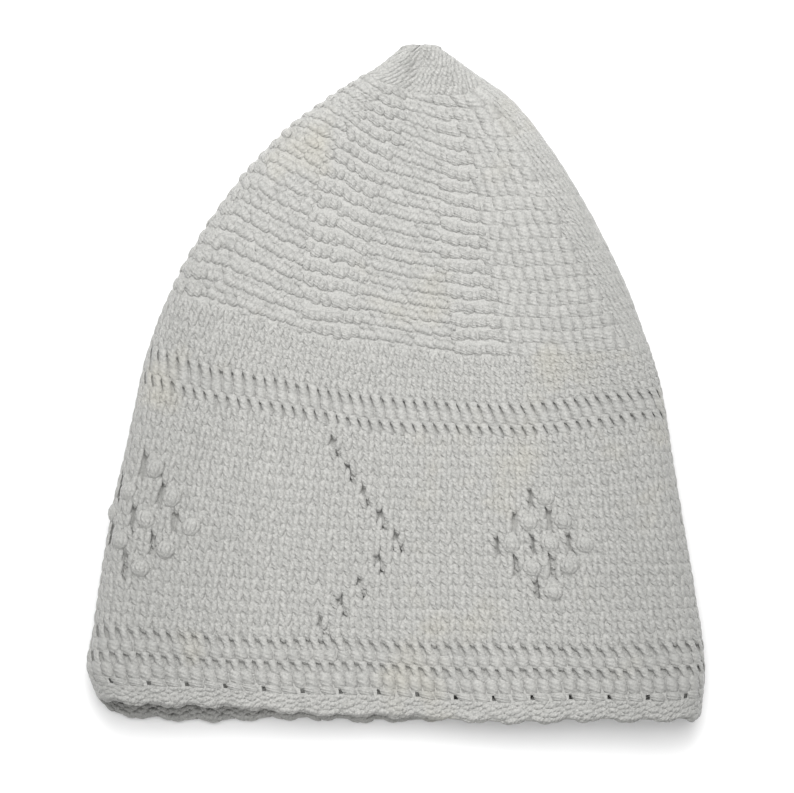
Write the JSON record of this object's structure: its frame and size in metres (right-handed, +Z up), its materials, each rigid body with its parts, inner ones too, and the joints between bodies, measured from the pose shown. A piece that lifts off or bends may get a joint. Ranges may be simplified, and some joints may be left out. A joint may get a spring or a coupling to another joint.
{
  "type": "kufi cap",
  "caption": "Crocheted cotton kufi cap laid flat: pointed dome crown with ribbed panels, openwork rounds, a band with raised diamonds and chevrons, scalloped rim, open hollow.",
  "frame": {"origin": "bottom centre of the bounding box, on the surface that the cap lies on", "axes": "+Y towards the tip of the crown, -Y towards the opening, +X to the right as the cap is seen from above, +Z up out of the surface"},
  "size_m": [0.25, 0.2736, 0.0244],
  "materials": {
    "cotton": "off-white mercerised cotton yarn, crocheted, matte with a slight sheen"
  },
  "bodies": {
    "root": {"crochet_cap": "cotton"}
  },
  "joints": []
}
